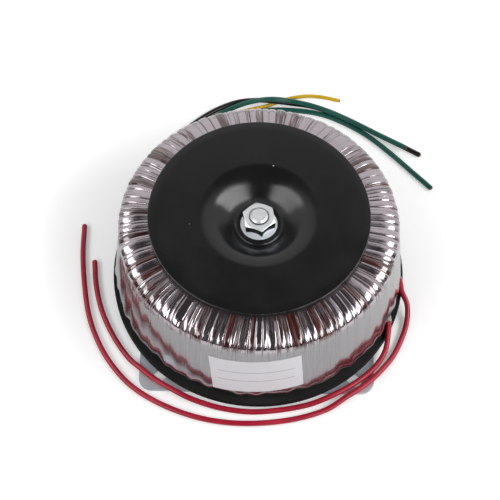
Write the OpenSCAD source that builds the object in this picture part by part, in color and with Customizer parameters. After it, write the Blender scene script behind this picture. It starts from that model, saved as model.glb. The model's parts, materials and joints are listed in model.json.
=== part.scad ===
// Toroidal power transformer on a mounting plate.
// A wound ring in clear film sits between two rubber pads. A dished washer, a nut and one
// long bolt clamp it to a plated steel plate with slotted corners, and six leads come out
// from under the wrap at its lower edge.
// Millimetres, +Z up. The origin is the centre of the plate's underside, on the bolt's axis.

/* [Wound ring] */
// Outer diameter over the film wrap, low down
ring_d = 169; // [160:1:172]
// Height over the film wrap
ring_h = 60; // [54:1:80]
// Diameter of the clear hole through the wrap
hole_d = 58; // [54:1:66]
// How much less the wrap's radius is at the upper edge than low down
top_inset = 5; // [2:0.5:6]
// The same for the windings' faces inside
inner_inset = 2.4; // [1:0.1:3]
// Rounding of the upper outer edge
top_edge_r = 9; // [7:0.5:11]
// Rounding of the lower outer edge
low_edge_r = 8.5; // [8:0.5:13]
// Rounding of the edges round the hole
hole_edge_r = 10; // [8:0.5:12]

/* [Film wrap] */
// Thickness of the gathered film wrap
film_t = 1.8; // [1.6:0.1:2.4]
// Number of pleats gathered round the ring
pleats = 80; // [60:1:96]
// Height of a pleat over the ring's top
pleat_h = 1.4; // [0.4:0.1:1.6]
// Depth of the furrow between two pleats
furrow_h = 0.6; // [0.2:0.1:0.7]
// Lean of the pleats round the ring, in degrees
pleat_lean = 1.3; // [0:0.1:2]
// Number of waves that the lean makes round the ring
lean_waves = 5; // [3:1:8]
// Number of times that the waves of the lean swell and sink round the ring
lean_swells = 2; // [1:1:4]

/* [Windings] */
// Build of the secondary winding outside, on the faces and in the hole
secondary_build = [3.9, 4.2, 6.6];
// Thickness of the tape between the windings
interlayer_t = 0.6; // [0.4:0.1:1]
// Build of the primary winding outside, on the faces and in the hole
primary_build = [3.8, 3.6, 6.2];
// Thickness of the tape round the core
core_tape_t = 0.8; // [0.5:0.1:1.2]
// Number of strip edges that show on each face of the core
core_turns = 9; // [4:1:14]
// Depth of the step between two strip edges
core_step = 0.3; // [0.2:0.05:0.5]

/* [Pads] */
// Diameter of the rubber pad under the ring
base_pad_d = 173; // [168:1:178]
// Thickness of the rubber pad under the ring
base_pad_t = 5; // [4:0.5:6]
// Diameter of the hole in the rubber pad under the ring
base_pad_hole_d = 62; // [58:1:70]
// Thickness of the rubber pad on the ring
top_pad_t = 3.5; // [2:0.5:5]
// Diameter of the hole in the rubber pad on the ring
top_pad_hole_d = 68; // [66:1:76]
// How far the top pad stays back from the washer's rim
top_pad_margin = 0.5; // [0:0.1:2]

/* [Dished washer] */
// Diameter of the dished clamping washer
cap_d = 125; // [115:1:132]
// Sheet thickness of the clamping washer
cap_t = 1.5; // [1.2:0.1:2]
// Diameter at which the dish starts
dish_d = 64; // [58:1:66]
// Diameter of the flat floor of the dish
dish_floor_d = 24; // [23:1:28]
// Depth of the dish
dish_depth = 12.5; // [8:0.5:14]

/* [Mounting plate] */
// Width of the plate along X
plate_w = 136; // [130:1:150]
// Depth of the plate along Y
plate_d = 154; // [146:1:170]
// Sheet thickness of the plate
plate_t = 2; // [1.5:0.1:2.5]
// Corner radius of the plate
plate_corner_r = 8; // [4:0.5:12]
// Distance between the slots' centres along X
slot_pitch_x = 108; // [102:1:114]
// Distance between the slots' centres along Y
slot_pitch_y = 131; // [124:1:136]
// Width of a mounting slot
slot_w = 7; // [5:0.1:8]
// Length of a mounting slot over its round ends
slot_l = 17; // [10:0.5:18]
// Height that the plate's centre is pressed up over the bolt's head
boss_h = 7; // [6.6:0.1:8]
// Diameter of the flat top of the pressed centre
boss_top_d = 34; // [28:1:38]
// Diameter of the pressed centre at the plate
boss_foot_d = 50; // [44:1:54]

/* [Fasteners] */
// Nominal diameter of the bolt
bolt_d = 10; // [8:1:10]
// Clearance of the holes that the bolt passes through
bolt_clear = 1; // [0.5:0.1:1.5]
// Distance across the flats of the nut and of the bolt's head
flats_w = 17; // [16:0.5:18]
// Height of the nut
nut_h = 8; // [6:0.5:9]
// Angle that the nut came to rest at
nut_turn = 41; // [0:1:59]
// Height of the bolt's head
bolt_head_h = 6.4; // [5:0.1:6.4]
// Length of the bolt that stands proud of the nut
bolt_proud = 1.5; // [1:0.5:3]
// Outer diameter of the flat washer
flat_washer_d = 21; // [20:0.5:22]
// Thickness of the flat washer
flat_washer_t = 2; // [1.5:0.1:2.5]

/* [Label] */
// Width of the bare label on the wall
label_w = 51; // [40:1:60]
// Height of the bare label
label_h = 31; // [24:1:34]
// Thickness of the bare label
label_t = 0.35; // [0.2:0.05:0.5]
// How far the label's lowest corner stays over the lower rounding
label_clear = 0.5; // [0:0.1:2]
// Slant of the label, in degrees
label_slant = 4; // [0:0.5:5]

/* [Leads] */
// Diameter of the heavy leads
lead_d = 3.2; // [2.6:0.1:3.6]
// Diameter of the thin yellow lead
thin_lead_d = 2.4; // [1.6:0.1:2.8]
// Diameter of the sleeve on each lead where it leaves the wrap
sleeve_d = 4.4; // [4:0.1:5]
// Length of a sleeve, with the part that is inside the wrap
sleeve_l = 12; // [10:0.5:15]
// Angle between a sleeve and the ring's edge, in degrees
sleeve_turn = 25; // [20:1:40]
// How far inside the ring's edge a sleeve starts
sleeve_depth = 6; // [5:0.5:8]
// Distance between the rear sleeves, along the circle that they start from
rear_pitch = 9.59058424; // [9.4:0.00000001:10.4]

/* [Hidden] */

$fn = 96;
eps = 0.01;

// Heights, from the mounting surface up
pad_z = plate_t;
ring_z = pad_z + base_pad_t;
ring_top = ring_z + ring_h;
cap_z = ring_top + top_pad_t;
rim_z = cap_z + cap_t;
dish_floor_z = rim_z - dish_depth;
nut_z = dish_floor_z + flat_washer_t;
bolt_end_z = nut_z + nut_h + bolt_proud;
boss_top_z = plate_t + boss_h;

// Nested sections of the ring: builds outside, on the faces and in the hole, added up from
// the film inwards. Section 0 is the wrap's outside and section 5 is the bare core.
LAYERS = [[0, 0, 0], [film_t, film_t, film_t], secondary_build,
          [interlayer_t, interlayer_t, interlayer_t], primary_build,
          [core_tape_t, core_tape_t, core_tape_t]];
function build(level, side) = level < 0 ? 0 : LAYERS[level][side] + build(level - 1, side);
function outer_r(level) = ring_d / 2 - build(level, 0);
function hole_r(level) = hole_d / 2 + build(level, 2);
function low_z(level) = ring_z + build(level, 1);
function high_z(level) = ring_top - build(level, 1);
function edge_r(r, level, side) = max(r - build(level, side), 1.2);

// How far a level's outer wall leans in from its lower to its upper edge
INSETS = [top_inset, top_inset, inner_inset, inner_inset, 0, 0];
// Angle of the wall's normal, which touches the upper rounding rt and the lower one rl
function wall_tilt(inset, rt, rl, high) =
    let (across = inset + rt - rl, down = high - rt - rl)
    acos((rt - rl) / norm([across, down])) - atan2(down, across);

// Points of a round with its middle at x and z, from the angle a on, down by the sweep
function bend(x, z, r, a, sweep, steps) =
    [for (i = [0 : steps]) let (b = a - sweep * i / steps) [x + r * cos(b), z + r * sin(b)]];

// Section of the ring at a level, clockwise from the hole's lower edge
function section_points(level, steps = 6) =
    let (inner = hole_r(level), outer = outer_r(level), low = low_z(level),
         high = high_z(level), rh = edge_r(hole_edge_r, level, 2),
         rt = edge_r(top_edge_r, level, 0), rl = edge_r(low_edge_r, level, 0),
         tilt = wall_tilt(INSETS[level], rt, rl, high - low))
    concat(bend(inner + rh, low + rh, rh, 270, 90, steps),
           bend(inner + rh, high - rh, rh, 180, 90, steps),
           bend(outer - INSETS[level] - rt, high - rt, rt, 90, 90 - tilt, steps),
           bend(outer - rl, low + rl, rl, tilt, 90 + tilt, steps));

module section(level) polygon(section_points(level));

// One layer of the ring, between two sections
module ring_layer(level) {
    rotate_extrude() difference() {
        section(level);
        section(level + 1);
    }
}

// ---- Film wrap ----
// The wrap's outside: a section with few points, each with the share of the pleats' height
// and of the furrows' depth that it takes. Pads and label meet points that take none.
pad_r = cap_d / 2 - top_pad_margin;
shoulder_r = ring_d / 2 - top_inset - top_edge_r;
span = shoulder_r - pad_r;
TILT = wall_tilt(top_inset, top_edge_r, low_edge_r, ring_h);
// Points at which the wall meets its two roundings
WALL_TOP = [shoulder_r + top_edge_r * cos(TILT), ring_top - top_edge_r * (1 - sin(TILT))];
WALL_LOW = [ring_d / 2 - low_edge_r * (1 - cos(TILT)), ring_z + low_edge_r * (1 + sin(TILT))];
WALL_MIDDLE = (WALL_TOP + WALL_LOW) / 2;
function wrap_arc(x, z, r, a, angles, crests, furrows) =
    [for (i = [0 : len(angles) - 1])
        [x + r * cos(a - angles[i]), z + r * sin(a - angles[i]), crests[i], furrows[i],
         a - angles[i]]];
WRAP = concat(
    wrap_arc(hole_d / 2 + hole_edge_r, ring_z + hole_edge_r, hole_edge_r, 270,
             [0, 45, 90], [0, 0, 0], [0, 0, 0]),
    wrap_arc(hole_d / 2 + hole_edge_r, ring_top - hole_edge_r, hole_edge_r, 180,
             [0, 45, 90], [0, 0, 0], [0, 0, 0]),
    [[pad_r + 0.1, ring_top, 0, 0, 90], [pad_r + 0.2 * span, ring_top, 0.5, 0.5, 90],
     [pad_r + 0.6 * span, ring_top, 0.9, 1, 90]],
    wrap_arc(shoulder_r, ring_top - top_edge_r, top_edge_r, 90,
             [0, 25, 50, 70, 90 - TILT], [1, 1.1, 0.8, 0.3, 0], [1, 1, 1, 0.9, 0.5]),
    [[WALL_MIDDLE[0], WALL_MIDDLE[1], 0, 0.4, TILT]],
    wrap_arc(ring_d / 2 - low_edge_r, ring_z + low_edge_r, low_edge_r, TILT,
             [0, 24 + TILT, 48 + TILT, 90 + TILT], [0, 0, 0, 0], [0.4, 0.6, 0.6, 0]));

COLUMNS = 2 * pleats;
COLUMN_STEP = 360 / COLUMNS;
crest_size = rands(0.45, 1.35, COLUMNS, 11);
furrow_size = rands(0.5, 1, COLUMNS, 12);
column_shift = rands(-0.24, 0.24, COLUMNS, 13);

// Height of the folded film over a point of the section: pleat and furrow alternate
function fold(column, crest, furrow) =
    column % 2 == 0 ? pleat_h * crest * crest_size[column]
                    : -furrow_h * furrow * furrow_size[column];
// Angle of a column where it crosses a point: the pleats lean in slow waves
function fold_angle(column, crest) =
    COLUMN_STEP * (column + column_shift[column])
    + pleat_lean * crest * sin(lean_waves * COLUMN_STEP * column)
      * cos(lean_swells * COLUMN_STEP * column);
function fold_point(p, column) =
    let (h = fold(column, p[2], p[3]), r = p[0] + h * cos(p[4]),
         a = fold_angle(column, p[2]))
    [r * cos(a), r * sin(a), p[1] + h * sin(p[4])];

module wrap_outside() {
    rows = len(WRAP);
    points = [for (c = [0 : COLUMNS - 1]) for (p = WRAP) fold_point(p, c)];
    faces = [for (c = [0 : COLUMNS - 1]) for (k = [0 : rows - 1])
        let (here = c * rows, next = ((c + 1) % COLUMNS) * rows, up = (k + 1) % rows)
        each [[here + k, here + up, next + up], [here + k, next + up, next + k]]];
    polyhedron(points, faces);
}

module film_wrap() {
    color([0.62, 0.45, 0.47]) difference() {
        wrap_outside();
        rotate_extrude() section(1);
        for (a = concat(RED_EXITS, REAR_EXITS)) sleeve_body(a);
    }
}

// ---- Core and windings ----
module core() {
    pitch = (outer_r(5) - hole_r(5)) / core_turns;
    color([0.42, 0.43, 0.45]) rotate_extrude() difference() {
        section(5);
        // every second strip stands a little back, as wound strip does
        for (i = [1 : 2 : core_turns - 2], z = [low_z(5) - core_step, high_z(5) - core_step])
            translate([hole_r(5) + i * pitch, z]) square([pitch, 2 * core_step]);
    }
}

module core_tape() { color([0.75, 0.72, 0.55]) ring_layer(4); }
module primary_winding() { color([0.62, 0.24, 0.14]) ring_layer(3); }
module interlayer_tape() { color([0.8, 0.78, 0.6]) ring_layer(2); }
module secondary_winding() { color([0.5, 0.14, 0.13]) ring_layer(1); }

// ---- Pads ----
module pad(d, hole, t, z) {
    color([0.07, 0.07, 0.07]) translate([0, 0, z]) difference() {
        cylinder(d = d, h = t);
        translate([0, 0, -1]) cylinder(d = hole, h = t + 2);
    }
}
module base_pad() pad(base_pad_d, base_pad_hole_d, base_pad_t, pad_z);
module top_pad() pad(2 * pad_r, top_pad_hole_d, top_pad_t, ring_top);

// ---- Dished washer ----
// Depth of the dish at a radius: level, then an even S-shaped fall to the flat floor
function dish_fall(r) =
    let (t = (dish_d / 2 - r) / (dish_d / 2 - dish_floor_d / 2),
         u = min(max(t, 0), 1))
    dish_depth * (1 - cos(180 * u)) / 2;
DISH_STEPS = 14;
function dish_line(z) = concat(
    [for (i = [0 : DISH_STEPS])
        let (r = dish_floor_d / 2 + i * (dish_d - dish_floor_d) / 2 / DISH_STEPS)
        [r, z - dish_fall(r)]],
    [[cap_d / 2, z]]);
function reversed(list) = [for (i = [len(list) - 1 : -1 : 0]) list[i]];

module clamping_washer() {
    bore = (bolt_d + bolt_clear) / 2;
    color([0.11, 0.11, 0.12]) rotate_extrude() polygon(concat(
        [[bore, dish_floor_z - cap_t]], dish_line(cap_z), reversed(dish_line(rim_z)),
        [[bore, dish_floor_z]]));
}

// ---- Mounting plate ----
module slot() {
    for (end = [-1, 1]) translate([end * (slot_l - slot_w) / 2, 0, -1])
        cylinder(d = slot_w, h = plate_t + 2);
    translate([(slot_w - slot_l) / 2, -slot_w / 2, -1])
        cube([slot_l - slot_w, slot_w, plate_t + 2]);
}

// Plate blank with round corners
module plate_blank() {
    r = plate_corner_r;
    translate([-plate_w / 2 + r, -plate_d / 2, 0]) cube([plate_w - 2 * r, plate_d, plate_t]);
    translate([-plate_w / 2, -plate_d / 2 + r, 0]) cube([plate_w, plate_d - 2 * r, plate_t]);
    for (x = [-1, 1], y = [-1, 1])
        translate([x * (plate_w / 2 - r), y * (plate_d / 2 - r), 0])
            cylinder(r = r, h = plate_t);
}

module base_plate() {
    slot_angle = atan2(slot_pitch_y, slot_pitch_x);
    top = boss_top_d / 2;
    foot = boss_foot_d / 2;
    color([0.72, 0.73, 0.75]) difference() {
        union() {
            plate_blank();
            rotate_extrude() polygon([[0, 0], [foot + plate_t, 0], [foot + plate_t, plate_t],
                                      [top, boss_top_z], [0, boss_top_z]]);
        }
        rotate_extrude() polygon([[0, -1], [foot - plate_t, -1], [foot - plate_t, 0],
                                  [top - plate_t, boss_h], [0, boss_h]]);
        cylinder(d = bolt_d + bolt_clear, h = boss_top_z + 1);
        for (x = [-1, 1], y = [-1, 1])
            translate([x * slot_pitch_x / 2, y * slot_pitch_y / 2, 0])
                rotate([0, 0, x * y * slot_angle]) slot();
    }
}

// ---- Fasteners ----
module flat_washer() {
    color([0.8, 0.8, 0.78]) translate([0, 0, dish_floor_z]) difference() {
        cylinder(d = flat_washer_d, h = flat_washer_t);
        translate([0, 0, -1]) cylinder(d = bolt_d + bolt_clear, h = flat_washer_t + 2);
    }
}

// Hexagonal prism with the corners turned off by a cone, at the top and if asked below
module hexagon(h, low_chamfer) {
    corner_r = flats_w / sqrt(3);
    fall = (corner_r - flats_w / 2) * tan(30);
    low = low_chamfer ? fall : 0;
    intersection() {
        cylinder(r = corner_r, h = h, $fn = 6);
        rotate_extrude() polygon([[0, 0], [corner_r - low / tan(30), 0], [corner_r, low],
                                  [corner_r, h - fall], [flats_w / 2, h], [0, h]]);
    }
}

module hex_nut() {
    color([0.82, 0.82, 0.8]) translate([0, 0, nut_z]) difference() {
        rotate(nut_turn) hexagon(nut_h, true);
        translate([0, 0, -1]) cylinder(d = bolt_d + 0.2, h = nut_h + 2);
    }
}

module centre_bolt() {
    chamfer = bolt_d / 10;
    color([0.78, 0.78, 0.76]) {
        translate([0, 0, boss_h]) mirror([0, 0, 1]) hexagon(bolt_head_h, false);
        rotate_extrude() polygon([[0, boss_h - eps], [bolt_d / 2, boss_h - eps],
                                  [bolt_d / 2, bolt_end_z - chamfer],
                                  [bolt_d / 2 - chamfer, bolt_end_z], [0, bolt_end_z]]);
    }
}

// ---- Label ----
// Height of the label's middle, at which its lowest corner just clears the lower rounding
label_z = WALL_LOW[1] + label_h / 2 + label_w / 2 * tan(label_slant) + label_clear;
module label() {
    color([0.92, 0.92, 0.92]) intersection() {
        rotate_extrude() polygon([WALL_LOW, WALL_LOW + [label_t, 0], WALL_TOP + [label_t, 0],
                                  WALL_TOP]);
        translate([0, 0, label_z]) rotate([0, -label_slant, 0])
            translate([-label_w / 2, -ring_d, -label_h / 2])
                cube([label_w, ring_d, label_h]);
    }
}

// ---- Lead exits ----
sleeve_z = ring_z + sleeve_d / 2;
sleeve_start_r = ring_d / 2 - sleeve_depth;
// Angles round the ring at which the sleeves start inside the wrap
rear_step = rear_pitch / sleeve_start_r * 180 / PI;
RED_OUTER_AT = 3;
RED_INNER_AT = -17;
GREEN_LONG_AT = 132;
YELLOW_AT = GREEN_LONG_AT + rear_step;
GREEN_SHORT_AT = YELLOW_AT + rear_step;
BLACK_AT = GREEN_SHORT_AT + rear_step;
RED_EXITS = [RED_OUTER_AT, RED_INNER_AT];
REAR_EXITS = [GREEN_LONG_AT, YELLOW_AT, GREEN_SHORT_AT, BLACK_AT];
function turned(p, a) = [p[0] * cos(a) - p[1] * sin(a), p[0] * sin(a) + p[1] * cos(a)];
// Mouth of the sleeve that starts at the angle a: the lead begins there
function mouth(a) =
    let (p = turned([sleeve_start_r + sleeve_l * sin(sleeve_turn),
                     -sleeve_l * cos(sleeve_turn)], a))
    [p[0], p[1], sleeve_z];
function mouth_heading(a) = let (p = turned([sin(sleeve_turn), -cos(sleeve_turn)], a))
    [p[0], p[1], 0];

// A sleeve's full length, and what shows of it from the winding's surface on
module sleeve_body(a) {
    rotate([0, 0, a]) translate([sleeve_start_r, 0, sleeve_z])
        rotate([0, 90, sleeve_turn - 90]) cylinder(d = sleeve_d, h = sleeve_l);
}
module sleeves(angles) {
    color([0.75, 0.73, 0.68]) difference() {
        for (a = angles) sleeve_body(a);
        rotate_extrude() section(1);
    }
}
module red_lead_sleeves() sleeves(RED_EXITS);
module rear_lead_sleeves() sleeves(REAR_EXITS);

// ---- Leads ----
// Each route starts at its sleeve's mouth, drops off the pad and lies on the surface that
// the plate stands on. It rises over the plate's corners and over the leads it crosses.
RED_OUTER = [[85.3, -14, 9], [88.4, -21.5, 6.6], [88.4, -30, 2.6], [85.5, -40, 1.6],
    [79.5, -53, 2], [70.5, -65, 3.9], [62, -73, 3.9], [52, -80, 3.8], [40, -87.5, 1.6],
    [24, -93, 1.6], [6, -96, 1.6], [-13, -96.5, 1.6], [-31, -94, 1.6], [-48, -88.5, 1.6],
    [-63, -81, 1.6], [-75, -72, 1.6], [-86, -59, 1.6], [-94, -45, 1.6], [-100, -29, 1.6],
    [-104, -9, 1.6], [-106.5, 12, 1.6], [-107, 32, 1.6]];
RED_INNER = [[76.2, -43.5, 8.8], [74.5, -52, 6.2], [69.5, -60, 4.1], [62, -67.5, 3.9],
    [53, -74, 3.9], [43, -79.5, 3.3], [30, -84.5, 1.6], [14, -88, 1.6], [-3, -89.5, 1.6],
    [-20, -87.5, 1.6], [-36, -83, 2.7], [-47, -78, 3.9], [-58, -71.5, 3.9], [-67, -64.5, 3.9],
    [-75.5, -56, 1.8], [-85, -42, 1.6], [-92.5, -26, 1.6], [-97, -9, 1.6], [-99, 7, 1.6]];
GREEN_LONG = [[-42.8, 77, 8.8], [-39.5, 86, 5.5], [-36, 95, 1.8], [-30, 104, 1.6],
    [-20, 112, 1.6], [-8, 117.5, 1.6], [6, 120.5, 1.6], [20, 120.5, 1.6], [34, 118.8, 1.6],
    [45, 115.4, 1.6], [58, 108.6, 1.6], [70, 100.1, 1.6], [83, 88, 1.6], [95, 75.5, 1.6],
    [107, 63, 1.6]];
GREEN_SHORT = [[-60, 64.5, 8.8], [-58.5, 73.5, 5.5], [-54.5, 85, 1.8], [-48, 96.5, 1.6],
    [-39, 107, 1.6], [-28, 115.5, 1.8], [-16, 121.5, 3.4], [-5, 124.5, 5.3], [7, 124.6, 7.9],
    [19, 124.9, 5.6], [32, 122.4, 4.7], [45, 117.4, 4.6], [58, 110.6, 4.6], [75, 100.6, 4.6],
    [92, 90.9, 4.6]];
BLACK = [[-67.7, 56.5, 8.8], [-67.2, 66, 6], [-65, 77, 3.9], [-59.5, 89, 1.6],
    [-50.5, 101, 1.6], [-39.5, 111.8, 1.6], [-28.5, 120, 1.6], [-16, 126, 1.6],
    [-4, 127.8, 1.8], [7, 125.5, 4.5], [19, 125.6, 2.2], [32, 124, 1.6], [45, 119.3, 1.6],
    [58, 112.6, 1.6], [75, 102.6, 1.6], [92, 92.9, 1.6], [101, 87.6, 1.6]];
YELLOW = [[-51.2, 71, 8.6], [-48.8, 80, 5], [-44.5, 90.5, 1.4], [-37.5, 101, 1.2],
    [-28.5, 110, 1.2], [-17.5, 117, 1.2], [-6, 121, 1.2], [3, 123.6, 1.2],
    [11, 127, 1.2], [20, 130.5, 1.2], [30, 132.2, 1.2], [40, 131.5, 1.2], [50.5, 129, 1.2]];

LEAD_SIDES = 8;
function unit(v) = v / norm(v);
// Direction of a route at a point; at the mouth it is the sleeve's own
function along(route, i, first) =
    i == 0 ? first
    : i == len(route) - 1 ? unit(route[i] - route[i - 1])
    : unit(unit(route[i + 1] - route[i]) + unit(route[i] - route[i - 1]));
// Ring of points square to a direction, with its flats level
function lead_ring(p, dir, r) =
    let (side = unit(cross([0, 0, 1], dir)), up = cross(dir, side))
    [for (k = [0 : LEAD_SIDES - 1]) let (a = 360 * (k + 0.5) / LEAD_SIDES)
        p + r * (cos(a) * side + sin(a) * up)];

module lead(points, at, d) {
    route = concat([mouth(at)], points);
    rings = len(route);
    skin = [for (i = [0 : rings - 1])
        each lead_ring(route[i], along(route, i, mouth_heading(at)), d / 2)];
    walls = [for (i = [0 : rings - 2]) for (k = [0 : LEAD_SIDES - 1])
        let (a = i * LEAD_SIDES + k, b = i * LEAD_SIDES + (k + 1) % LEAD_SIDES)
        each [[a, a + LEAD_SIDES, b + LEAD_SIDES], [a, b + LEAD_SIDES, b]]];
    ends = [[for (k = [0 : LEAD_SIDES - 1]) k],
            [for (k = [LEAD_SIDES - 1 : -1 : 0]) (rings - 1) * LEAD_SIDES + k]];
    polyhedron(skin, concat(walls, ends));
}

module red_lead_outer() { color([0.68, 0.1, 0.17]) lead(RED_OUTER, RED_OUTER_AT, lead_d); }
module red_lead_inner() { color([0.68, 0.1, 0.17]) lead(RED_INNER, RED_INNER_AT, lead_d); }
module green_lead_long() {
    color([0.08, 0.34, 0.28]) lead(GREEN_LONG, GREEN_LONG_AT, lead_d);
}
module green_lead_short() {
    color([0.08, 0.34, 0.28]) lead(GREEN_SHORT, GREEN_SHORT_AT, lead_d);
}
module black_lead() { color([0.05, 0.05, 0.05]) lead(BLACK, BLACK_AT, lead_d); }
module yellow_lead() { color([0.85, 0.68, 0.12]) lead(YELLOW, YELLOW_AT, thin_lead_d); }

base_plate();
base_pad();
core();
core_tape();
primary_winding();
interlayer_tape();
secondary_winding();
film_wrap();
top_pad();
clamping_washer();
flat_washer();
hex_nut();
centre_bolt();
label();
red_lead_sleeves();
rear_lead_sleeves();
red_lead_outer();
red_lead_inner();
green_lead_long();
green_lead_short();
black_lead();
yellow_lead();
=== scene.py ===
"""Looks of a toroidal transformer: a wound ring in gathered film, clamped between two pads.

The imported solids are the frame. This script dresses them, and builds anew what needs finer form
than they have: the film wrap, the dished washer, the flat washer, the nut and the six leads.
Everything is in metres, +Z up, with the origin under the centre bolt.
"""

import json
import logging
import math
from collections.abc import Callable, Sequence
from dataclasses import dataclass, field
from enum import Enum

import bpy
import numpy as np
from mathutils import Matrix, Vector


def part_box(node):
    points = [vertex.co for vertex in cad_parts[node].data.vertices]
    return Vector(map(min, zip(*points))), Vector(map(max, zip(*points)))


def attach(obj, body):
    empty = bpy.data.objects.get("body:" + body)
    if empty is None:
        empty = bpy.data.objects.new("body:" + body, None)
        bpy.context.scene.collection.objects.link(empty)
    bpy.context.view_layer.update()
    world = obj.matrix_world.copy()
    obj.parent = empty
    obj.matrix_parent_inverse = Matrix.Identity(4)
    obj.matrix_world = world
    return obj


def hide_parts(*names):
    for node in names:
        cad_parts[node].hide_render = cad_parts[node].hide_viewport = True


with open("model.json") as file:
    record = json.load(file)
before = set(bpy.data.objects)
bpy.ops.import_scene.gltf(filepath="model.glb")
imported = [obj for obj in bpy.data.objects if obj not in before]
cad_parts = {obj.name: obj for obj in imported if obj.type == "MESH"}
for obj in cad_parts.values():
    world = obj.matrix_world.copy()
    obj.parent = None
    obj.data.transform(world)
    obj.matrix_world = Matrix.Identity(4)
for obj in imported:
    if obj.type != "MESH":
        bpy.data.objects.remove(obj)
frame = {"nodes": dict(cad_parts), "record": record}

LOG = logging.getLogger("transformer")
ROOT = "root"
MM = 0.001
FULL_TURN = 2 * math.pi

Colour = tuple[float, float, float]
Array = np.ndarray


# ---------------------------------------------------------------------------------------------
# Surfaces
# ---------------------------------------------------------------------------------------------
def grid_quads(rings: int, sides: int, close_rings: bool = False) -> Array:
    """Quads of a grid of points that is closed across its sides.

    Args:
        rings: Number of rings of points.
        sides: Number of points in a ring.
        close_rings: Whether the last ring joins the first.

    Returns:
        Corner numbers, four a face.
    """
    ring = np.arange(rings if close_rings else rings - 1)[:, None]
    side = np.arange(sides)[None, :]
    here, there = ring * sides, ((ring + 1) % rings) * sides
    after = (side + 1) % sides
    return np.stack([here + side, here + after, there + after, there + side], -1).reshape(-1, 4)


def new_piece(name: str, points: Array, faces: Array, slot: str, nodes: Sequence[str]) -> bpy.types.Object:
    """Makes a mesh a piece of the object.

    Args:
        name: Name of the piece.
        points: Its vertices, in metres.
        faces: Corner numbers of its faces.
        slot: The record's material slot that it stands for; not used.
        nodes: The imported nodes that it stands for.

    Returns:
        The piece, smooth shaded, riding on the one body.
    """
    mesh = bpy.data.meshes.new(name)
    mesh.from_pydata(points.reshape(-1, 3), [], faces.tolist())
    mesh.polygons.foreach_set("use_smooth", np.ones(len(mesh.polygons), bool))
    mesh.update()
    piece = bpy.data.objects.new(name, mesh)
    bpy.context.scene.collection.objects.link(piece)
    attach(piece, ROOT)
    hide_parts(*nodes)
    return piece


def add_values(piece: bpy.types.Object, name: str, values: Array) -> None:
    """Stores a number or a vector for each vertex, which the piece's material reads."""
    kind, key = ("FLOAT_VECTOR", "vector") if values.ndim == 2 else ("FLOAT", "value")
    attribute = piece.data.attributes.new(name, kind, "POINT")
    attribute.data.foreach_set(key, values.astype(np.float32).ravel())


def split_sharp(piece: bpy.types.Object, degrees: float) -> None:
    """Keeps edges that turn by more than an angle crisp."""
    piece.data.set_sharp_from_angle(angle=math.radians(degrees))


@dataclass
class Outline:
    """A closed outline in the (radius, height) plane, grown run by run.

    Each point keeps the angle of its outward normal, in radians from the +radius direction.
    """

    radii: list[float] = field(default_factory=list)
    heights: list[float] = field(default_factory=list)
    normals: list[float] = field(default_factory=list)

    def arc(self, centre: tuple[float, float], size: float, start: float, end: float,
            steps: int) -> "Outline":
        """Adds an arc, from one angle to another in degrees, with both its ends."""
        turn = np.radians(np.linspace(start, end, steps + 1))
        self.radii += list(centre[0] + size * np.cos(turn))
        self.heights += list(centre[1] + size * np.sin(turn))
        self.normals += list(turn)
        return self

    def run(self, start: tuple[float, float], end: tuple[float, float], steps: int) -> "Outline":
        """Adds the points between two ends of a straight run, without the ends."""
        share = np.linspace(0, 1, steps + 1)[1:-1]
        self.radii += list(start[0] + share * (end[0] - start[0]))
        self.heights += list(start[1] + share * (end[1] - start[1]))
        normal = math.atan2(start[0] - end[0], end[1] - start[1]) + math.pi
        self.normals += [normal] * len(share)
        return self

    def arrays(self) -> tuple[Array, Array, Array]:
        """Radii, heights and normals as arrays."""
        return np.array(self.radii), np.array(self.heights), np.array(self.normals)


def turned_solid(name: str, outline: Sequence[tuple[float, float]], slot: str, nodes: Sequence[str],
                 sides: int = 192) -> bpy.types.Object:
    """Turns a closed outline round the bolt's axis: x = r cos a, y = r sin a.

    Args:
        name: Name of the piece.
        outline: (radius, height) points, clockwise.
        slot: Material slot.
        nodes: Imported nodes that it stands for.
        sides: Number of steps round the axis.

    Returns:
        The piece.
    """
    radius, height = np.array(outline).T
    turn = np.linspace(0, FULL_TURN, sides, endpoint=False)
    points = np.stack([radius[:, None] * np.cos(turn), radius[:, None] * np.sin(turn),
                       np.repeat(height[:, None], sides, 1)], -1)
    faces = grid_quads(len(radius), sides, close_rings=True)[:, ::-1]
    return new_piece(name, points, faces, slot, nodes)


def rounded(corners: Sequence[tuple[float, float, float]], steps: int = 5) -> list[tuple[float, float]]:
    """Rounds the corners of a closed outline.

    Each corner is replaced by points on the parabola that touches both of its sides: the mean of
    the corner and its two tangent points, weighted by (1-t)^2, 2t(1-t) and t^2.

    Args:
        corners: (radius, height, rounding) of each corner, in order.
        steps: Steps along a rounded corner.

    Returns:
        (radius, height) points.
    """
    points: list[tuple[float, float]] = []
    for i, (r, z, size) in enumerate(corners):
        here = np.array([r, z])
        if size == 0:
            points.append((r, z))
            continue
        before, after = np.array(corners[i - 1][:2]), np.array(corners[(i + 1) % len(corners)][:2])
        start = here + (before - here) * size / np.linalg.norm(before - here)
        end = here + (after - here) * size / np.linalg.norm(after - here)
        for t in np.linspace(0, 1, steps + 1):
            points.append(tuple((1 - t) ** 2 * start + 2 * t * (1 - t) * here + t * t * end))
    return points


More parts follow.
